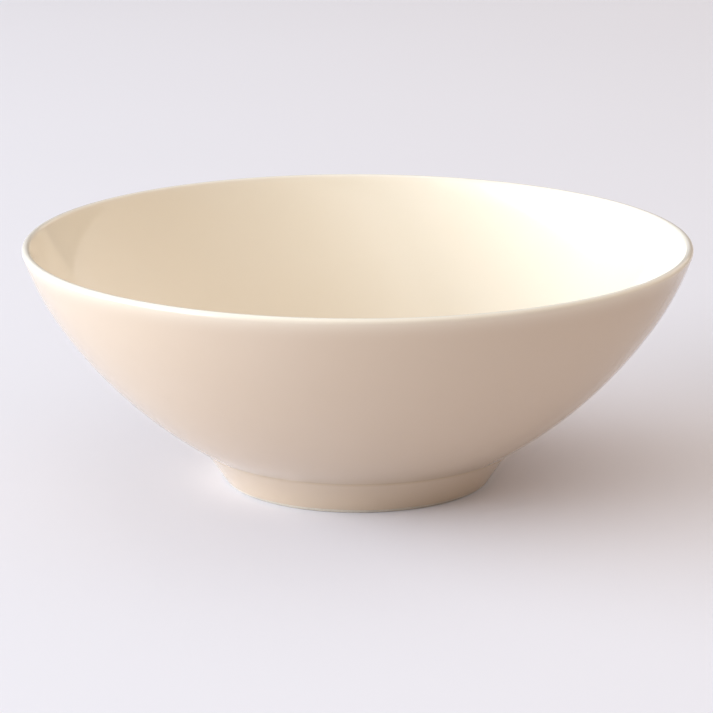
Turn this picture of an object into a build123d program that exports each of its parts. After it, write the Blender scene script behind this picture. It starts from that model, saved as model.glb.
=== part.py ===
from build123d import *
import os
from math import cos, radians, sin

# A round porcelain serving bowl with a flared wall, a full-round lip and a low conical foot.
# Millimetres, Z up. The origin is the centre of the face that the foot stands on.
# Every piece is turned about Z, so each one is drawn as its half section in the XZ plane.
# A section line takes an inset: 0 gives the glazed surface, and glaze the clay under it.

# Driving dimensions; slopes are degrees above the horizontal, and turns are degrees
rim_radius = 110.0  # the widest point, on the outside of the lip
bowl_height = 80.5  # from the standing face to the top of the lip
lip_radius = 1.35  # the lip is a full round
glaze = 0.3  # thickness of the fired glaze

# Outside of the wall, from the lip down to the crease above the foot
outer_lip_slope = 71.67
outer_shoulder_radius = 92.9
outer_shoulder_turn = 15.67
outer_belly_radius = 150.0
crease_radius = 53.0
crease_height = 12.1
crease_slope = 31.6  # of the wall, where it meets the crease
crease_fillet = 1.0  # glaze pooled in the crease

# Inside, from the lip down to the floor; the wall thins from 4.8 at the foot to 2.8 at the lip
inner_lip_slope = 70.13
inner_shoulder_radius = 91.1
inner_shoulder_turn = 15.48
inner_belly_radius = 146.0
inner_belly_turn = 24.4
cove_radius = 22.0
cove_turn = 25.25

# Foot ring and the recess inside it
foot_slope = 48.2  # of the foot's outer side, where it meets the crease
foot_hollow_radius = 60.0  # the outer side is slightly hollow
foot_inner_radius = 39.9  # at the standing face
foot_round = 0.8  # on both edges of the standing face
recess_radius = 39.2
recess_height = 6.5
recess_fillet = 1.5
wiped_height = 0.9  # the glaze is wiped off below this

outwards = Vector(1, 0)
inwards = Vector(-1, 0)
lip_centre = Vector(rim_radius - lip_radius, bowl_height - lip_radius)


def down_the_slope(slope):
    """Direction down and inwards at a slope."""
    return Vector(-cos(radians(slope)), -sin(radians(slope)))


def lip_top(inset):
    return lip_centre + Vector(0, lip_radius - inset)


def wall_line(inset):
    """Outside of the wall, from the top of the lip to the crease; returns its last arc."""
    lip = JernArc(lip_top(inset), outwards, lip_radius - inset, outer_lip_slope - 180)
    shoulder = JernArc(lip @ 1, lip % 1, outer_shoulder_radius - inset, -outer_shoulder_turn)
    halfway = (crease_slope + foot_slope) / 2
    crease_line = Axis((crease_radius, crease_height), down_the_slope(halfway + 90))
    return JernArc(shoulder @ 1, shoulder % 1, outer_belly_radius - inset, crease_line)


def foot_line(crease, inset, end_height):
    """Outer side of the foot, from the crease down to a height; returns its arc."""
    end_line = Axis((0, end_height), outwards)
    return JernArc(crease, down_the_slope(foot_slope), foot_hollow_radius + inset, end_line)


def inside_line(inset):
    """Inside of the bowl, from the top of the lip to the centre of the floor; returns its last arc."""
    lip = JernArc(lip_top(inset), inwards, lip_radius - inset, inner_lip_slope)
    shoulder = JernArc(lip @ 1, lip % 1, inner_shoulder_radius + inset, -inner_shoulder_turn)
    belly = JernArc(shoulder @ 1, shoulder % 1, inner_belly_radius + inset, -inner_belly_turn)
    cove = JernArc(belly @ 1, belly % 1, cove_radius + inset, -cove_turn)
    floor_turn = inner_lip_slope - inner_shoulder_turn - inner_belly_turn - cove_turn
    floor_radius = (cove @ 1).X / sin(radians(floor_turn))  # level at the centre
    return JernArc(cove @ 1, cove % 1, floor_radius, -floor_turn)


def seam_line():
    """Joint between the bowl and its foot ring, which carries on the curve of the wall."""
    return TangentArc(clay_crease, recess_corner(glaze), tangent=down_the_slope(crease_slope))


def recess_centre(inset):
    return Vector(0, recess_height + inset)


def recess_corner(inset):
    return Vector(recess_radius + inset, recess_height + inset)


def recess_side(inset, height):
    """Point on the foot's inner side at a height."""
    draft = (foot_inner_radius - recess_radius) / recess_height
    return Vector(foot_inner_radius + inset - draft * height, height)


clay_crease = wall_line(glaze) @ 1
ring_top = recess_corner(glaze)

# The bowl itself, in bare fired clay: wall, lip and floor in one
with BuildPart() as porcelain_body:
    with BuildSketch(Plane.XZ):
        with BuildLine():
            wall_line(glaze)
            seam_line()
            Polyline(ring_top, recess_centre(glaze), inside_line(glaze) @ 1)
        make_face()
    revolve(axis=Axis.Z)

# The foot ring, luted to the underside; its standing face is bare
with BuildPart() as foot_ring:
    with BuildSketch(Plane.XZ) as ring_section:
        with BuildLine():
            seam_line()
            side = foot_line(clay_crease, glaze, 0)
            Polyline(side @ 1, recess_side(glaze, 0), ring_top)
        make_face()
        fillet(ring_section.vertices().group_by(Axis.Y)[0], radius=foot_round)
    revolve(axis=Axis.Z)

# Glaze over the outside, from the top of the lip to the wiped edge of the foot
with BuildPart() as outside_glaze:
    with BuildSketch(Plane.XZ) as outside_section:
        with BuildLine():
            wall_surface = wall_line(0)
            foot_surface = foot_line(wall_surface @ 1, 0, wiped_height)
            clay_side = foot_line(clay_crease, glaze, wiped_height)
            wall_line(glaze)
            Line(lip_top(0), lip_top(glaze))
            Line(foot_surface @ 1, clay_side @ 1)
        make_face()
        fillet(outside_section.vertices().sort_by_distance(wall_surface @ 1)[0], radius=crease_fillet)
    revolve(axis=Axis.Z)

# Glaze over the inside, from the top of the lip across the floor
with BuildPart() as inside_glaze:
    with BuildSketch(Plane.XZ):
        with BuildLine():
            floor_surface = inside_line(0)
            clay_floor = inside_line(glaze)
            Line(lip_top(0), lip_top(glaze))
            Line(floor_surface @ 1, clay_floor @ 1)
        make_face()
    revolve(axis=Axis.Z)

# Glaze in the recess under the floor, down to the wiped edge of the foot
with BuildPart() as base_glaze:
    with BuildSketch(Plane.XZ) as recess_section:
        with BuildLine():
            Polyline(
                recess_centre(0),
                recess_corner(0),
                recess_side(0, wiped_height),
                recess_side(glaze, wiped_height),
                ring_top,
                recess_centre(glaze),
                close=True,
            )
        make_face()
        fillet(recess_section.vertices().sort_by_distance(recess_corner(0))[0], radius=recess_fillet)
    revolve(axis=Axis.Z)

porcelain_body.part.label = "porcelain_body"
foot_ring.part.label = "foot_ring"
outside_glaze.part.label = "outside_glaze"
inside_glaze.part.label = "inside_glaze"
base_glaze.part.label = "base_glaze"

os.makedirs("parts", exist_ok=True)
for piece in (porcelain_body, foot_ring, outside_glaze, inside_glaze, base_glaze):
    export_step(piece.part, f"parts/{piece.part.label}.step")
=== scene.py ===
"""Porcelain serving bowl: the fired clay and its three coats of glaze, on a studio floor."""

import math

import bpy
import numpy as np
from bpy.props import FloatProperty, FloatVectorProperty, PointerProperty
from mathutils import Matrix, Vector


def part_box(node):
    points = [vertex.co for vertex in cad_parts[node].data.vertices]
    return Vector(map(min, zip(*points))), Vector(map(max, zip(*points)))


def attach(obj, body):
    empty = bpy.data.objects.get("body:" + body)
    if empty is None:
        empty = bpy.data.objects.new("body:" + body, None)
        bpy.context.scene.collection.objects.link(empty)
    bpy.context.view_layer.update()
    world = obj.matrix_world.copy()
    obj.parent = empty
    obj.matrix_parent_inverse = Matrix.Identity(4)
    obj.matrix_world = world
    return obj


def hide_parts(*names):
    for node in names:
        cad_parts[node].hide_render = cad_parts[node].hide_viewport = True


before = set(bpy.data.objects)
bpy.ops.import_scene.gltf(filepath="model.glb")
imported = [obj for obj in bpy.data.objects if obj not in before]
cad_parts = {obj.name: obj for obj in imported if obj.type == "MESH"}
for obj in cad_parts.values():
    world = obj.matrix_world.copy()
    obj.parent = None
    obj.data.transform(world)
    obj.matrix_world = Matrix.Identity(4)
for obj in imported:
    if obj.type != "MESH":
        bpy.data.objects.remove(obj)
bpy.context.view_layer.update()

bl_info = {
    "name": "Porcelain serving bowl",
    "version": (1, 0, 0),
    "blender": (4, 5, 0),
    "location": "3D View > Sidebar > Bowl",
    "description": "Builds a glazed porcelain serving bowl on a studio floor",
    "category": "Add Mesh",
}

MM = 0.001
BODY = "root"

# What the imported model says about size
RIM_RADIUS = max(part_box("outside_glaze")[1].x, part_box("outside_glaze")[1].y)
BOWL_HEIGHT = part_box("outside_glaze")[1].z
WIPED_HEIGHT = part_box("outside_glaze")[0].z
RECESS_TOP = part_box("base_glaze")[1].z


# Settings that a user would change


class BowlForm(bpy.types.PropertyGroup):
    """Sizes of the bowl's section."""

    lip_radius: FloatProperty(
        name="Lip radius",
        description="Radius of the full-round lip",
        default=1.35 * MM,
        unit="LENGTH",
    )
    glaze: FloatProperty(
        name="Glaze", description="Thickness of the fired glaze", default=0.3 * MM, unit="LENGTH"
    )
    crease_fillet: FloatProperty(
        name="Crease fillet",
        description="Radius of the glaze pooled in the crease above the foot",
        default=1.0 * MM,
        unit="LENGTH",
    )
    recess_fillet: FloatProperty(
        name="Recess fillet",
        description="Radius of the glaze pooled in the corner under the floor",
        default=1.5 * MM,
        unit="LENGTH",
    )
    warp: FloatProperty(
        name="Kiln warp",
        description="How far the rim moves in the kiln",
        default=0.12 * MM,
        unit="LENGTH",
    )
    wipe_wander: FloatProperty(
        name="Wiped edge wander",
        description="How far the wiped edge of the glaze strays up and down the foot",
        default=0.16 * MM,
        unit="LENGTH",
    )


class BowlFinish(bpy.types.PropertyGroup):
    """Colours and surface of the glaze and the bare clay."""

    glaze_colour: FloatVectorProperty(
        name="Glaze",
        description="Ivory glaze where it lies at its usual depth, on the inside",
        subtype="COLOR",
        size=3,
        default=(0.94, 0.85, 0.705),
    )
    # Painted shade: a darker copy of the glaze on the outside, for the shade on its downward-facing wall.
    shaded_outside_colour: FloatVectorProperty(
        name="Deep glaze",
        description="Where the glaze lies deeper, on the outside that is dipped last",
        subtype="COLOR",
        size=3,
        default=(0.665, 0.525, 0.40),
    )
    # Paler than the glaze: a painted highlight on and just below the lip, where the glaze also runs thin;
    # thin glaze at the wiped edge under the foot.
    thin_and_highlit_colour: FloatVectorProperty(
        name="Thin glaze",
        description="Where the glaze runs thin over the lip and the clay shows through",
        subtype="COLOR",
        size=3,
        default=(0.92, 0.88, 0.81),
    )
    # Pooled glaze deepened by painted shade: in the crease and above it, in the recess corner, and as
    # painted shade on the foot.
    pooled_and_shaded_colour: FloatVectorProperty(
        name="Pooled glaze",
        description="Where the glaze pools in a crease",
        subtype="COLOR",
        size=3,
        default=(0.60, 0.46, 0.32),
    )
    clay_colour: FloatVectorProperty(
        name="Bare clay",
        description="Fired clay without glaze",
        subtype="COLOR",
        size=3,
        default=(0.68, 0.60, 0.50),
    )
    roughness: FloatProperty(
        name="Glaze roughness", description="Roughness of the fired glaze", default=0.09, min=0.0, max=1.0
    )


class StudioLight(bpy.types.PropertyGroup):
    """Floor colour and the power of the lamps."""

    floor_colour: FloatVectorProperty(
        name="Floor",
        description="Colour of the studio floor",
        subtype="COLOR",
        size=3,
        default=(0.84, 0.83, 0.875),
    )
    key_power: FloatProperty(
        name="Key",
        description="Power of the large soft light on the left",
        default=113.0,
        unit="POWER",
    )
    front_power: FloatProperty(
        name="Front",
        description="Power of the weak soft light at the front left",
        default=16.0,
        unit="POWER",
    )
    top_power: FloatProperty(
        name="Overhead",
        description="Power of the soft light overhead",
        default=107.0,
        unit="POWER",
    )
    sky: FloatProperty(
        name="Room", description="Strength of the even light of the room", default=0.16, min=0.0
    )


# Section of the bowl, in metres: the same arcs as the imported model's

OUTER_LIP_SLOPE = 71.67  # slopes are in degrees above the horizontal
INNER_LIP_SLOPE = 70.13
# Each arc is its radius and its turn in degrees, from the lip down
OUTER_ARCS = ((92.9 * MM, 15.67), (150.0 * MM, 24.4))
INNER_ARCS = ((91.1 * MM, 15.48), (146.0 * MM, 24.4), (22.0 * MM, 25.25))
CREASE_SLOPE = 31.6
FOOT_SLOPE = 48.2
FOOT_HOLLOW = 60.0 * MM
FOOT_INNER = 39.9 * MM
FOOT_ROUND = 0.8 * MM
RECESS_RADIUS = 39.2 * MM

CROWN = 0.03 * MM  # half the width of the level strip on top of the lip, where two coats meet

# Depth of the glaze, from 0 for none to 1 for pooled, with painted light and shade in it: the
# outside's depth and the foot carry painted shade, the crease and the recess pooled glaze with painted
# shade, and the lip a painted highlight over thin glaze. Each thin or pooled place is (width of its bell
# curve, share).
INSIDE_DEPTH = 0.4
# The outside's depth picks the darker copy of the glaze: painted shade.
OUTSIDE_SHADED_DEPTH = 0.65
# Paler on and just below the lip: a painted highlight, over glaze that runs thin there.
THIN_AND_HIGHLIT_ON_LIP = (1.2 * MM, 0.75)
THIN_AND_HIGHLIT_BELOW_LIP = (3.5 * MM, 0.2)
THIN_AT_WIPED_EDGE = (0.7 * MM, 0.7)
# Darker in and above the crease and in the recess corner: pooled glaze deepened by painted shade.
POOLED_AND_SHADED_IN_CREASE = (0.6 * MM, 1.0)
POOLED_AND_SHADED_ABOVE_CREASE = (25.0 * MM, 0.12)
# Darker down the foot towards its wiped edge: painted shade.
PAINTED_SHADE_ON_FOOT = (9.0 * MM, 0.35)
POOLED_AND_SHADED_IN_RECESS = (1.8 * MM, 0.8)

# Waves round the axis, each (count, share, start in radians)
OVAL_WAVES = ((2, 0.8, 0.7), (3, 0.4, 1.9))
RIM_WAVES = ((2, 0.7, 2.4), (3, 0.3, 0.0))
WIPED_WAVES = ((3, 0.45, 5.1), (7, 0.3, 0.4), (13, 0.25, 3.5))
WIPED_REACH = 3.0 * MM  # height over which the wiped edge's wander dies away

# Finishes. A size is that of a noise's lumps, and a band is where a noise fades from nothing to its share.
DRIFT_SIZE = 60 * MM
DRIFT_BAND = (0.35, 0.75)
DRIFT_SHARE = 0.5
DRIFT_TINT = (0.985, 0.965, 0.925)
SPECK_SPACING = 16 * MM
SPECK_EDGE = (0.006, 0.012)  # inner and outer radius of a speck, as shares of the spacing
SPECK_CHOICE = (0.80, 0.82)  # leaves about one cell in five with a speck
SPECK_SHARE = 0.5
SPECK_TINT = (0.55, 0.45, 0.32)
HAZE_SIZE = 30 * MM
HAZE = (-0.02, 0.03)  # about the glaze's roughness
SWELL = (18 * MM, 0.05 * MM)  # size and height
RIPPLE = (3.5 * MM, 0.0015 * MM)
GLAZE_IOR = 1.5

GRAIN_SIZE = 0.6 * MM
GRAIN_BAND = (0.35, 0.62)
GRAIN_TINT = (0.90, 0.88, 0.84)
GRAIN_PITS = 0.04 * MM
CLAY_ROUGHNESS = (0.72, 0.92)
RUB_SIZE = 12 * MM
RUB_BAND = (0.52, 0.74)
RUB_SHARE = 0.35
RUB_TINT = (0.62, 0.63, 0.66)

FLOOR_DRIFT_SIZE = 500 * MM
FLOOR_DRIFT_BAND = (0.3, 0.7)
FLOOR_DRIFT_TINT = (0.985, 0.985, 0.985)
FLOOR_ROUGHNESS = 0.9
FLOOR_SPECULAR = 0.1

STEP = 1.4 * MM  # between points along a section
TIGHT_STEP = 6.0  # degrees between points on a small round
AROUND = 320  # points round the axis
ON_AXIS = 1e-9  # a smaller radius counts as on the axis


def heading(slope):
    """Unit vector at a slope in degrees: (cos, sin)."""
    return np.array([math.cos(math.radians(slope)), math.sin(math.radians(slope))])


def arc(start, slope, radius, turn):
    """Points on an arc that leaves start at a slope and turns by an angle, left if positive.

    The centre lies at the radius to the turning side, and each point is the centre plus
    the radius times the outward unit vector at its slope. The start itself is left out.
    """
    side = math.copysign(1.0, turn)
    centre = start + radius * side * heading(slope + 90)
    count = max(2, math.ceil(max(radius * abs(math.radians(turn)) / STEP, abs(turn) / TIGHT_STEP)))
    slopes = np.radians(slope + turn * np.arange(1, count + 1) / count)
    return centre + radius * side * np.stack([np.sin(slopes), -np.cos(slopes)], axis=-1)


def chain(start, slope, arcs):
    """Points on a run of tangent arcs, given as (radius, turn) pairs, with the start first."""
    points = [start[None]]
    for radius, turn in arcs:
        points.append(arc(points[-1][-1], slope, radius, turn))
        slope += turn
    return np.concatenate(points)


def straight(start, end):
    """Points on a straight run from start to end, without the start: start plus t times the way."""
    count = max(1, math.ceil(np.linalg.norm(end - start) / STEP))
    t = (np.arange(1, count + 1) / count)[:, None]
    return start + (end - start) * t


def lip_top(inset):
    """Top of the lip, lowered by the inset."""
    return np.array([RIM_RADIUS - form().lip_radius, BOWL_HEIGHT - inset])


def crown(inset, side):
    """Start of a line that leaves the lip, level for a hair's breadth so that two coats meet evenly."""
    return lip_top(inset) + np.array([side * CROWN, 0.0])


def outside_arcs(inset, belly_turn_change=0.0):
    """Arcs from the lip's crown down the outside; an inset moves them into the clay."""
    (shoulder, shoulder_turn), (belly, belly_turn) = OUTER_ARCS
    return [
        (form().lip_radius - inset, OUTER_LIP_SLOPE - 180),
        (shoulder - inset, -shoulder_turn),
        (belly - inset, -belly_turn + belly_turn_change),
    ]


def outside_line(inset):
    """Outside of the wall, from the lip to the corner of the crease.

    Under the glaze the corner lies a mitre further on: the inset times the tangent of half its angle.
    """
    further = inset * math.tan(math.radians(FOOT_SLOPE - CREASE_SLOPE) / 2)
    arcs = outside_arcs(inset, -math.degrees(further / OUTER_ARCS[1][0]))
    return np.concatenate([lip_top(inset)[None], chain(crown(inset, 1), 0.0, arcs)])


def foot_slope_at(crease, radius, height):
    """Slope of the foot's hollow side at a height, on a circle about a centre outside the foot."""
    centre_height = crease[1] + radius * heading(FOOT_SLOPE - 90)[1]
    return -math.degrees(math.acos((centre_height - height) / radius))


def glazed_outside():
    """Outside of the wall and the foot in one line, with the crease filled by an arc."""
    angle = FOOT_SLOPE - CREASE_SLOPE
    fillet = form().crease_fillet
    cut = math.degrees(fillet * math.tan(math.radians(angle) / 2) / OUTER_ARCS[1][0])
    wall = chain(crown(0.0, 1), 0.0, outside_arcs(0.0, cut) + [(fillet, angle)])
    foot_end = foot_slope_at(wall[-1], FOOT_HOLLOW, WIPED_HEIGHT + form().glaze / 2)
    foot = arc(wall[-1], FOOT_SLOPE - 180, FOOT_HOLLOW, foot_end - (FOOT_SLOPE - 180))
    bead = arc(foot[-1], foot_end, form().glaze / 2, -180.0)
    return np.concatenate([lip_top(0.0)[None], wall, foot, bead])


def clay_foot_side(end_height):
    """Clay of the foot's outer side, from the crease down to a height."""
    corner = outside_line(form().glaze)[-1]
    radius = FOOT_HOLLOW + form().glaze
    slope = FOOT_SLOPE - 180
    return arc(corner, slope, radius, foot_slope_at(corner, radius, end_height) - slope)


def inside_line(inset):
    """Inside of the bowl, from the lip to the centre of the floor.

    The floor is the last arc. Its radius is the distance left divided by the sine of the turn left,
    which makes it level at the centre.
    """
    arcs = [(form().lip_radius - inset, INNER_LIP_SLOPE)]
    arcs += [(radius + inset, -turn) for radius, turn in INNER_ARCS]
    wall = chain(crown(inset, -1), 180.0, arcs)
    turn_left = INNER_LIP_SLOPE - sum(turn for _, turn in INNER_ARCS)
    radius = wall[-1][0] / math.sin(math.radians(turn_left))
    floor = arc(wall[-1], 180.0 + turn_left, radius, -turn_left)
    floor[-1, 0] = 0.0
    return np.concatenate([lip_top(inset)[None], wall, floor])


def recess_corner(inset):
    """Corner of the recess under the floor, moved into the clay by the inset."""
    return np.array([RECESS_RADIUS + inset, RECESS_TOP - form().glaze + inset])


def seam_line():
    """Joint of the bowl and its foot ring: the one arc that leaves the crease along the wall
    and ends at the corner of the recess. It turns by twice the angle between its start and its chord."""
    start = outside_line(form().glaze)[-1]
    chord = recess_corner(form().glaze) - start
    away = math.degrees(math.atan2(chord[1], chord[0])) - (CREASE_SLOPE - 180)
    radius = np.linalg.norm(chord) / (2 * math.sin(math.radians(abs(away))))
    return np.concatenate([start[None], arc(start, CREASE_SLOPE - 180, radius, 2 * away)])


# Studio; each lamp is (name, place, size, colour)

LAMPS = (
    ("key_light", (-2.4, -0.3, 0.75), (3.4, 1.4), (0.745, 0.86, 1.0)),
    ("front_light", (-2.0, -1.3, 0.8), (2.4, 1.4), (1.0, 0.97, 0.90)),
    ("top_light", (1.0, 0.2, 2.1), (8.4, 5.0), (1.0, 0.90, 0.83)),
)
ROOM_COLOUR = (1.0, 0.95, 0.90, 1.0)
FLOOR_WIDTH = 12.0
FLOOR_CELLS = 8
FLOOR_GAP = 0.02 * MM  # keeps the floor clear of the foot's face
SENSOR_WIDTH = 36.0
LENS = 151.6
CAMERA_PLACE = (-0.0004, -0.9665, BOWL_HEIGHT + 0.2144)
CAMERA_PITCH = 14.75  # degrees below the horizontal


# From sections to meshes


def wave_sum(around, waves):
    """Sum of the share times the cosine of count times the angle plus the start, over all waves."""
    return sum(share * np.cos(count * around + start) for count, share, start in waves)


def kiln_warp(points):
    """Moves points as the kiln does: the rim turns slightly oval and wavy, and the foot stays flat.

    The shift outwards and upwards is a sum of two and three waves round the axis, times the square
    of the height over the bowl's.
    """
    around = np.arctan2(points[:, 1], points[:, 0])
    warp = form().warp * (points[:, 2] / BOWL_HEIGHT) ** 2
    outwards = warp * wave_sum(around, OVAL_WAVES)
    upwards = warp * wave_sum(around, RIM_WAVES)
    shift = np.stack([outwards * np.cos(around), outwards * np.sin(around), upwards], axis=-1)
    return points + shift


def wiped_wander(points):
    """Lets the wiped edge of the glaze stray up the foot.

    The lift is the wander times one plus a sum of waves round the axis, and dies away with the
    square of the height over the edge.
    """
    around = np.arctan2(points[:, 1], points[:, 0])
    near = np.clip(1 - (points[:, 2] - WIPED_HEIGHT) / WIPED_REACH, 0, 1) ** 2
    moved = points.copy()
    moved[:, 2] += form().wipe_wander * near * (1 + wave_sum(around, WIPED_WAVES))
    return moved


def turned_points(section, poles):
    """Points of a section turned about Z, ring by ring: (r cos a, r sin a, z) at AROUND even angles.

    With poles, the first and last points of the section come once each, after the rings.
    """
    rings = section[1:-1] if poles else section
    angles = 2 * np.pi * np.arange(AROUND) / AROUND
    points = np.empty((len(rings), AROUND, 3))
    points[..., 0] = rings[:, :1] * np.cos(angles)
    points[..., 1] = rings[:, :1] * np.sin(angles)
    points[..., 2] = rings[:, 1:]
    points = points.reshape(-1, 3)
    if poles:
        points = np.concatenate([points, [[0, 0, section[0, 1]], [0, 0, section[-1, 1]]]])
    return points


def turned_faces(ring_count, poles):
    """Quads between neighbouring rings, closed by a fan of triangles round each pole, or from the
    last ring to the first."""
    index = np.arange(ring_count * AROUND).reshape(ring_count, AROUND)
    after = np.roll(index, -1, axis=1)
    if not poles:
        high, high_after = np.roll(index, -1, axis=0), np.roll(after, -1, axis=0)
        return [np.stack([index, after, high_after, high], axis=-1).reshape(-1, 4)]
    quads = np.stack([index[:-1], after[:-1], after[1:], index[1:]], axis=-1).reshape(-1, 4)
    first, last = index.size, index.size + 1
    first_fan = np.stack([np.full(AROUND, first), after[0], index[0]], axis=-1)
    last_fan = np.stack([np.full(AROUND, last), index[-1], after[-1]], axis=-1)
    return [quads, first_fan, last_fan]


def runs_clockwise(section):
    """Whether a section runs clockwise: its shoelace sum, r z' - r' z over all sides, is negative."""
    r, z = section[:, 0], section[:, 1]
    return np.sum(r * np.roll(z, -1) - np.roll(r, -1) * z) < 0


def smooth_mesh(name, points, faces):
    """Smooth mesh of an array of points and a list of arrays of faces."""
    mesh = bpy.data.meshes.new(name)
    mesh.vertices.add(len(points))
    mesh.vertices.foreach_set("co", points.astype(np.float32).ravel())
    sizes = np.concatenate([np.full(len(part), part.shape[1]) for part in faces])
    loops = np.concatenate([part.ravel() for part in faces])
    mesh.loops.add(len(loops))
    mesh.loops.foreach_set("vertex_index", loops.astype(np.int32))
    mesh.polygons.add(len(sizes))
    starts = np.concatenate([[0], np.cumsum(sizes)[:-1]])
    mesh.polygons.foreach_set("loop_start", starts.astype(np.int32))
    mesh.polygons.foreach_set("use_smooth", np.ones(len(sizes), bool))
    mesh.update(calc_edges=True)
    return mesh


def turned_piece(name, section, corners=(), depth=None, wander=False):
    """Makes a piece from a section turned about Z, with its faces outwards.

    A section that starts and ends on the axis closes with a pole at each end; any other is a loop.
    The corners are indices of section points whose ring keeps a sharp edge. The depth is that of
    the glaze at each section point, with painted light and shade in it.
    """
    poles = section[0, 0] < ON_AXIS and section[-1, 0] < ON_AXIS
    points = turned_points(section, poles)
    if wander:
        points = wiped_wander(points)
    points = kiln_warp(points)
    ring_count = len(section) - (2 if poles else 0)
    faces = turned_faces(ring_count, poles)
    if runs_clockwise(section):
        faces = [part[:, ::-1] for part in faces]
    mesh = smooth_mesh(name, points, faces)
    if len(corners):
        mark_sharp_rings(mesh, np.asarray(corners) - (1 if poles else 0), ring_count)
    if depth is not None:
        store_depth_and_shade(mesh, depth, poles)
    mesh.validate()
    piece = bpy.data.objects.new(name, mesh)
    bpy.context.scene.collection.objects.link(piece)
    return piece


def mark_sharp_rings(mesh, corners, ring_count):
    """Makes the edges of whole rings sharp: both ends of such an edge lie on one ring of the list."""
    ends = np.empty(len(mesh.edges) * 2, np.int32)
    mesh.edges.foreach_get("vertices", ends)
    rings = ends.reshape(-1, 2) // AROUND
    sharp = (rings[:, 0] == rings[:, 1]) & np.isin(rings[:, 0], corners) & (rings[:, 0] < ring_count)
    attribute = mesh.attributes.new("sharp_edge", "BOOLEAN", "EDGE")
    attribute.data.foreach_set("value", sharp)


def store_depth_and_shade(mesh, depth, poles):
    """Writes the glaze's depth at each vertex to the attribute glaze_depth_and_shade."""
    rings = depth[1:-1] if poles else depth
    values = np.repeat(rings, AROUND)
    if poles:
        values = np.concatenate([values, [depth[0], depth[-1]]])
    attribute = mesh.attributes.new("glaze_depth_and_shade", "FLOAT", "POINT")
    attribute.data.foreach_set("value", values.astype(np.float32))


def glaze_depth_and_shade(section, usual, thin_at=(), pooled_at=()):
    """Depth of the glaze along a section, from 0 for none to 1 for pooled.

    It is the usual depth, drawn towards 0 about each thin place and towards 1 about each pooled
    place by a share times a bell curve of the distance. A place is (point, (width, share)). Low depth
    on the lip stands for a painted highlight; the outside's depth and high depth in the crease, on the
    foot and in the recess stand for painted shade.
    """
    depth = np.full(len(section), usual)
    for goal, places in ((0.0, thin_at), (1.0, pooled_at)):
        for point, (width, share) in places:
            apart = np.linalg.norm(section - point, axis=1)
            depth += (goal - depth) * share * np.exp(-((apart / width) ** 2))
    return depth


def form():
    """Sizes that a user can change."""
    return bpy.context.scene.bowl_form


def finish():
    """Colours that a user can change."""
    return bpy.context.scene.bowl_finish


def light():
    """Stage settings that a user can change."""
    return bpy.context.scene.bowl_light


# Finishes


class Shader:
    """A material's node tree with short ways to add and join nodes."""

    def __init__(self, name):
        self.material = bpy.data.materials.get(name) or bpy.data.materials.new(name)
        self.material.use_nodes = True
        self.tree = self.material.node_tree
        self.tree.nodes.clear()
        self.surface = self.add("ShaderNodeBsdfPrincipled")
        self.join(self.surface, "BSDF", self.add("ShaderNodeOutputMaterial"), "Surface")
        self.place = self.add("ShaderNodeTexCoord")

    def add(self, kind, **values):
        """Adds a node; a value whose name is an input's sets that input, any other is a property."""
        node = self.tree.nodes.new(kind)
        for key, value in values.items():
            socket = node.inputs.get(key.replace("_", " ").title())
            if socket is not None:
                socket.default_value = value
            else:
                setattr(node, key, value)
        return node

    def join(self, source, output, target, input_name):
        """Joins one node's output to another's input."""
        self.tree.links.new(source.outputs[output], target.inputs[input_name])

    def noise(self, size, detail=2.0, roughness=0.5):
        """Soft noise whose lumps are about the given size across, in metres."""
        node = self.add("ShaderNodeTexNoise", scale=1 / size, detail=detail, roughness=roughness)
        self.join(self.place, "Object", node, "Vector")
        return node

    def ramp(self, source, output, stops):
        """Colour ramp over a source, from (position, colour) stops."""
        node = self.add("ShaderNodeValToRGB")
        elements = node.color_ramp.elements
        for _ in stops[2:]:
            elements.new(0.5)
        for element, (position, colour) in zip(elements, stops):
            element.position = position
            element.color = (*colour, 1.0)
        self.join(source, output, node, "Fac")
        return node

    def fade(self, source, output, band, values=(0.0, 1.0)):
        """Grey that runs from one value to the other over a band of the source."""
        return self.ramp(source, output, [(end, (value,) * 3) for end, value in zip(band, values)])

    def blend(self, first, second, share, way="MIX"):
        """Blends two colours; each one and the share is a (node, output) pair or a plain value."""
        node = self.add("ShaderNodeMix", data_type="RGBA", blend_type=way)
        factor, colour_a, colour_b = (node.inputs[place] for place in (0, 6, 7))
        for socket, value in ((factor, share), (colour_a, first), (colour_b, second)):
            if isinstance(value, tuple) and not isinstance(value[0], float):
                self.tree.links.new(value[0].outputs[value[1]], socket)
            elif isinstance(value, float):
                socket.default_value = value
            else:
                socket.default_value = (*value, 1.0)
        return node

    def bump(self, source, output, height, under=None):
        """Bump of a given height in metres, on top of another bump if there is one."""
        node = self.add("ShaderNodeBump", strength=1.0, distance=height)
        self.join(source, output, node, "Height")
        if under is not None:
            self.join(under, "Normal", node, "Normal")
        return node


def tinted(colour, tint):
    """A colour times a tint, channel by channel."""
    return tuple(c * t for c, t in zip(colour, tint))


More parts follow.
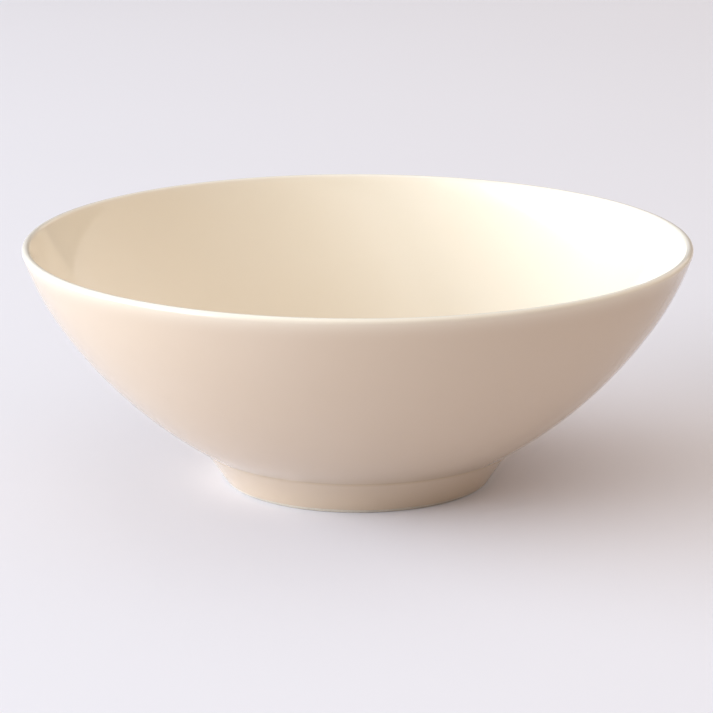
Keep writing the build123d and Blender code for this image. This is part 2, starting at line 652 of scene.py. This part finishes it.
def glaze_material():
    """Ivory glaze: paler where it runs thin and as a painted highlight on the lip, deeper where it pools
    and darker as painted shade on the outside, in the crease, on the foot and in the recess, with a faint
    drift of colour, a few pin-point specks, and a surface that is glassy but not quite flat."""
    look = finish()
    shader = Shader("ivory_glaze")
    depth = shader.add("ShaderNodeAttribute", attribute_name="glaze_depth_and_shade")
    # Ramp over the depth: painted highlight on the lip, the glaze, the outside's painted shade, and pooled
    # glaze deepened by painted shade.
    stops = (
        (0.0, look.thin_and_highlit_colour),
        (INSIDE_DEPTH, look.glaze_colour),
        (OUTSIDE_SHADED_DEPTH, look.shaded_outside_colour),
        (1.0, look.pooled_and_shaded_colour),
    )
    body = shader.ramp(depth, "Fac", stops)
    drift = shader.noise(size=DRIFT_SIZE, detail=3.0)
    drift_share = shader.fade(drift, "Fac", DRIFT_BAND, (0.0, DRIFT_SHARE))
    drifted = shader.blend((body, "Color"), DRIFT_TINT, (drift_share, "Color"), "MULTIPLY")

    cells = shader.add("ShaderNodeTexVoronoi", scale=1 / SPECK_SPACING)
    shader.join(shader.place, "Object", cells, "Vector")
    dot = shader.fade(cells, "Distance", SPECK_EDGE, (1.0, 0.0))
    which = shader.add("ShaderNodeSeparateColor")
    shader.join(cells, "Color", which, "Color")
    chosen = shader.fade(which, "Red", SPECK_CHOICE, (0.0, SPECK_SHARE))
    speck_share = shader.blend((dot, "Color"), (chosen, "Color"), 1.0, "MULTIPLY")
    speck = tinted(look.glaze_colour, SPECK_TINT)
    coloured = shader.blend((drifted, 2), speck, (speck_share, 2))
    shader.join(coloured, 2, shader.surface, "Base Color")

    haze = shader.noise(size=HAZE_SIZE, detail=4.0)
    smoothest, roughest = (look.roughness + change for change in HAZE)
    rough = shader.add("ShaderNodeMapRange", to_min=smoothest, to_max=roughest)
    shader.join(haze, "Fac", rough, "Value")
    shader.join(rough, "Result", shader.surface, "Roughness")

    swell = shader.noise(size=SWELL[0], detail=1.0)
    ripple = shader.noise(size=RIPPLE[0], detail=2.0)
    swelled = shader.bump(swell, "Fac", height=SWELL[1])
    rippled = shader.bump(ripple, "Fac", height=RIPPLE[1], under=swelled)
    shader.join(rippled, "Normal", shader.surface, "Normal")
    shader.surface.inputs["IOR"].default_value = GLAZE_IOR
    return shader.material


def clay_material():
    """Bare fired clay: warm, dull and finely grained, with grey rubs where it has stood on tables."""
    look = finish()
    shader = Shader("bare_porcelain")
    grain = shader.noise(size=GRAIN_SIZE, detail=5.0, roughness=0.65)
    darker = tinted(look.clay_colour, GRAIN_TINT)
    grained = shader.ramp(grain, "Fac", list(zip(GRAIN_BAND, (darker, look.clay_colour))))
    cloud = shader.noise(size=RUB_SIZE, detail=3.0)
    rub_share = shader.fade(cloud, "Fac", RUB_BAND, (0.0, RUB_SHARE))
    grey = tinted(look.clay_colour, RUB_TINT)
    rubbed = shader.blend((grained, "Color"), grey, (rub_share, "Color"))
    shader.join(rubbed, 2, shader.surface, "Base Color")
    rough = shader.add("ShaderNodeMapRange", to_min=CLAY_ROUGHNESS[0], to_max=CLAY_ROUGHNESS[1])
    shader.join(grain, "Fac", rough, "Value")
    shader.join(rough, "Result", shader.surface, "Roughness")
    pitted = shader.bump(grain, "Fac", height=GRAIN_PITS)
    shader.join(pitted, "Normal", shader.surface, "Normal")
    return shader.material


def floor_material():
    """Pale, dull studio floor with the faintest drift of tone."""
    colour = light().floor_colour
    shader = Shader("studio_floor")
    cloud = shader.noise(size=FLOOR_DRIFT_SIZE, detail=2.0)
    shade = tinted(colour, FLOOR_DRIFT_TINT)
    toned = shader.ramp(cloud, "Fac", list(zip(FLOOR_DRIFT_BAND, (shade, colour))))
    shader.join(toned, "Color", shader.surface, "Base Color")
    shader.surface.inputs["Roughness"].default_value = FLOOR_ROUGHNESS
    shader.surface.inputs["Specular IOR Level"].default_value = FLOOR_SPECULAR
    return shader.material


def settle(piece, node, material):
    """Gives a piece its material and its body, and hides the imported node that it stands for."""
    piece.data.materials.append(material)
    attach(piece, BODY)
    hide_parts(node)


# Operators, one for each piece or group of like pieces, and one for the stage


class BOWL_OT_clay(bpy.types.Operator):
    """Builds the bowl's clay body and its foot ring"""

    bl_idname = "bowl.clay"
    bl_label = "Clay body and foot ring"

    def execute(self, context):
        glaze = form().glaze
        outside, inside, seam = outside_line(glaze), inside_line(glaze), seam_line()
        underside = straight(recess_corner(glaze), np.array([0.0, RECESS_TOP]))
        body = np.concatenate([inside[::-1], outside[1:], seam[1:], underside])
        seam_start = len(inside) + len(outside) - 2
        seam_end = seam_start + len(seam) - 1
        piece = turned_piece("bowl_body", body, corners=(seam_start, seam_end))
        settle(piece, "porcelain_body", clay_material())

        side_slope, side_end = self.rounded_side_end()
        side = clay_foot_side(side_end)
        rounded = arc(side[-1], side_slope, FOOT_ROUND, -180 - side_slope)
        inner_bottom = np.array([FOOT_INNER + glaze, 0.0])
        up = recess_corner(glaze) - inner_bottom
        up_slope = math.degrees(math.atan2(up[1], up[0])) - 360
        inner_turn = up_slope + 180
        cut = FOOT_ROUND * math.tan(math.radians(abs(inner_turn)) / 2)
        standing = straight(rounded[-1], inner_bottom + np.array([cut, 0.0]))
        inner_round = arc(standing[-1], -180.0, FOOT_ROUND, inner_turn)
        inner_side = straight(inner_round[-1], recess_corner(glaze))
        seam = seam_line()[::-1]
        ring = np.concatenate([seam, side, rounded, standing, inner_round, inner_side[:-1]])
        piece = turned_piece("foot_ring_clay", ring, corners=(0, len(seam) - 1))
        settle(piece, "foot_ring", clay_material())
        return {"FINISHED"}

    @staticmethod
    def rounded_side_end():
        """Slope and height at which the foot's side runs into the round of its lower edge.

        The round's centre is its radius above the table, and its radius further from the hollow's
        centre than the clay side is, which gives the slope's cosine.
        """
        corner = outside_line(form().glaze)[-1]
        radius = FOOT_HOLLOW + form().glaze
        centre_height = corner[1] + radius * heading(FOOT_SLOPE - 90)[1]
        cosine = (centre_height - FOOT_ROUND) / (radius + FOOT_ROUND)
        return -math.degrees(math.acos(cosine)), centre_height - radius * cosine


class BOWL_OT_outside_glaze(bpy.types.Operator):
    """Builds the coat of glaze over the outside"""

    bl_idname = "bowl.outside_glaze"
    bl_label = "Outside glaze"

    def execute(self, context):
        glaze = form().glaze
        surface = glazed_outside()
        clay_wall = outside_line(glaze)
        clay_side = clay_foot_side(WIPED_HEIGHT + glaze / 2)
        under = np.concatenate([clay_wall, clay_side])[::-1]
        section = np.concatenate([surface, under[1:]])
        lip, crease, foot_edge = lip_top(0.0), outside_line(0.0)[-1], surface[-1]
        # Painted highlight on and below the lip, painted shade over the outside and down the foot, and
        # pooled glaze deepened by painted shade in and above the crease.
        depth = glaze_depth_and_shade(
            section,
            OUTSIDE_SHADED_DEPTH,
            thin_at=((lip, THIN_AND_HIGHLIT_ON_LIP), (lip, THIN_AND_HIGHLIT_BELOW_LIP)),
            pooled_at=(
                (crease, POOLED_AND_SHADED_IN_CREASE),
                (crease, POOLED_AND_SHADED_ABOVE_CREASE),
                (foot_edge, PAINTED_SHADE_ON_FOOT),
            ),
        )
        corners = (0, len(section) - 1)
        piece = turned_piece("glaze_outside", section, corners=corners, depth=depth, wander=True)
        settle(piece, "outside_glaze", glaze_material())
        return {"FINISHED"}


class BOWL_OT_inside_glaze(bpy.types.Operator):
    """Builds the coat of glaze over the inside"""

    bl_idname = "bowl.inside_glaze"
    bl_label = "Inside glaze"

    def execute(self, context):
        surface, under = inside_line(0.0), inside_line(form().glaze)
        section = np.concatenate([surface[::-1], under])
        # Paler on the lip: a painted highlight, over glaze that runs thin there.
        depth = glaze_depth_and_shade(section, INSIDE_DEPTH, thin_at=((lip_top(0.0), THIN_AND_HIGHLIT_ON_LIP),))
        corners = (len(surface) - 1, len(surface))
        piece = turned_piece("glaze_inside", section, corners=corners, depth=depth)
        settle(piece, "inside_glaze", glaze_material())
        return {"FINISHED"}


class BOWL_OT_base_glaze(bpy.types.Operator):
    """Builds the coat of glaze in the recess under the floor"""

    bl_idname = "bowl.base_glaze"
    bl_label = "Base glaze"

    def execute(self, context):
        glaze = form().glaze
        fillet = form().recess_fillet
        corner = recess_corner(0.0)
        down = np.array([FOOT_INNER, 0.0]) - corner
        down_slope = math.degrees(math.atan2(down[1], down[0]))
        cut = fillet * math.tan(math.radians(abs(down_slope)) / 2)
        centre = np.array([0.0, corner[1]])
        ceiling = straight(centre, corner - np.array([cut, 0.0]))
        rounded = arc(ceiling[-1], 0.0, fillet, down_slope)
        end_height = WIPED_HEIGHT + glaze / 2
        side = straight(rounded[-1], corner + down * (corner[1] - end_height) / corner[1])
        bead = arc(side[-1], down_slope, glaze / 2, 180.0)
        clay_corner = recess_corner(glaze)
        clay_side = straight(bead[-1], clay_corner)
        clay_ceiling = straight(clay_corner, np.array([0.0, RECESS_TOP]))
        lines = [centre[None], ceiling, rounded, side, bead, clay_side, clay_ceiling]
        section = np.concatenate(lines)
        # The base takes the outside's painted shade, with pooled glaze deepened by painted shade in its
        # corner and thin glaze at the wiped edge.
        depth = glaze_depth_and_shade(
            section,
            OUTSIDE_SHADED_DEPTH,
            thin_at=((bead[-1], THIN_AT_WIPED_EDGE),),
            pooled_at=((corner, POOLED_AND_SHADED_IN_RECESS),),
        )
        sharp = len(section) - len(clay_ceiling) - 1
        piece = turned_piece("glaze_base", section, corners=(sharp,), depth=depth, wander=True)
        settle(piece, "base_glaze", glaze_material())
        return {"FINISHED"}


class BOWL_OT_stage(bpy.types.Operator):
    """Lays the floor and sets the soft lights and the camera"""

    bl_idname = "bowl.stage"
    bl_label = "Studio stage"

    def execute(self, context):
        settings = light()
        self.floor()
        powers = (settings.key_power, settings.front_power, settings.top_power)
        for lamp, power in zip(LAMPS, powers):
            self.lamp(*lamp, power)
        self.room(settings.sky)
        self.camera()
        context.scene.view_settings.view_transform = "Standard"
        return {"FINISHED"}

    @staticmethod
    def floor():
        """Flat square floor on a grid: x and y each run from minus to plus half its width, and
        z is a hair below the foot."""
        line = np.linspace(-FLOOR_WIDTH / 2, FLOOR_WIDTH / 2, FLOOR_CELLS + 1)
        x, y = np.meshgrid(line, line)
        points = np.stack([x, y, np.full_like(x, -FLOOR_GAP)], axis=-1).reshape(-1, 3)
        index = np.arange(len(points)).reshape(FLOOR_CELLS + 1, FLOOR_CELLS + 1)
        near, far = index[:-1], index[1:]
        quads = np.stack([near[:, :-1], near[:, 1:], far[:, 1:], far[:, :-1]], axis=-1).reshape(-1, 4)
        mesh = bpy.data.meshes.new("studio_floor")
        mesh.from_pydata(points.tolist(), [], quads.tolist())
        mesh.materials.append(floor_material())
        floor = bpy.data.objects.new("studio_floor", mesh)
        bpy.context.scene.collection.objects.link(floor)

    @staticmethod
    def lamp(name, place, size, colour, power):
        """Rectangular soft light at a place, turned to face the middle of the bowl."""
        data = bpy.data.lights.new(name, "AREA")
        data.shape = "RECTANGLE"
        data.size, data.size_y = size
        data.energy = power
        data.color = colour
        lamp = bpy.data.objects.new(name, data)
        lamp.location = place
        towards_bowl = Vector((0.0, 0.0, BOWL_HEIGHT / 2)) - Vector(place)
        lamp.rotation_euler = towards_bowl.to_track_quat("-Z", "Y").to_euler()
        bpy.context.scene.collection.objects.link(lamp)

    @staticmethod
    def room(strength):
        """Even pale light from the room."""
        world = bpy.data.worlds.new("studio_room")
        world.use_nodes = True
        background = world.node_tree.nodes["Background"]
        background.inputs["Color"].default_value = ROOM_COLOUR
        background.inputs["Strength"].default_value = strength
        bpy.context.scene.world = world

    @staticmethod
    def camera():
        """Long lens about a metre away, a little above the rim and pitched down."""
        data = bpy.data.cameras.new("camera")
        data.sensor_width = SENSOR_WIDTH
        data.lens = LENS
        camera = bpy.data.objects.new("camera", data)
        camera.location = CAMERA_PLACE
        camera.rotation_euler = (math.radians(90 - CAMERA_PITCH), 0.0, 0.0)
        bpy.context.scene.collection.objects.link(camera)
        bpy.context.scene.camera = camera


class BOWL_PT_sidebar(bpy.types.Panel):
    """Settings and operators of the serving bowl"""

    bl_idname = "BOWL_PT_sidebar"
    bl_label = "Serving bowl"
    bl_space_type = "VIEW_3D"
    bl_region_type = "UI"
    bl_category = "Bowl"

    def draw(self, context):
        scene = context.scene
        for settings in (scene.bowl_form, scene.bowl_finish, scene.bowl_light):
            box = self.layout.box()
            for name in settings.__annotations__:
                box.prop(settings, name)
        for operator in OPERATORS:
            self.layout.operator(operator.bl_idname)


OPERATORS = (
    BOWL_OT_clay,
    BOWL_OT_outside_glaze,
    BOWL_OT_inside_glaze,
    BOWL_OT_base_glaze,
    BOWL_OT_stage,
)
CLASSES = (BowlForm, BowlFinish, StudioLight) + OPERATORS + (BOWL_PT_sidebar,)


def register():
    """Adds the classes and the settings to Blender."""
    for cls in CLASSES:
        bpy.utils.register_class(cls)
    bpy.types.Scene.bowl_form = PointerProperty(type=BowlForm)
    bpy.types.Scene.bowl_finish = PointerProperty(type=BowlFinish)
    bpy.types.Scene.bowl_light = PointerProperty(type=StudioLight)


def unregister():
    """Takes the settings and the classes out again."""
    del bpy.types.Scene.bowl_light
    del bpy.types.Scene.bowl_finish
    del bpy.types.Scene.bowl_form
    for cls in reversed(CLASSES):
        bpy.utils.unregister_class(cls)


def main():
    register()
    bpy.ops.bowl.clay()
    bpy.ops.bowl.outside_glaze()
    bpy.ops.bowl.inside_glaze()
    bpy.ops.bowl.base_glaze()
    bpy.ops.bowl.stage()


if __name__ == "__main__":
    main()
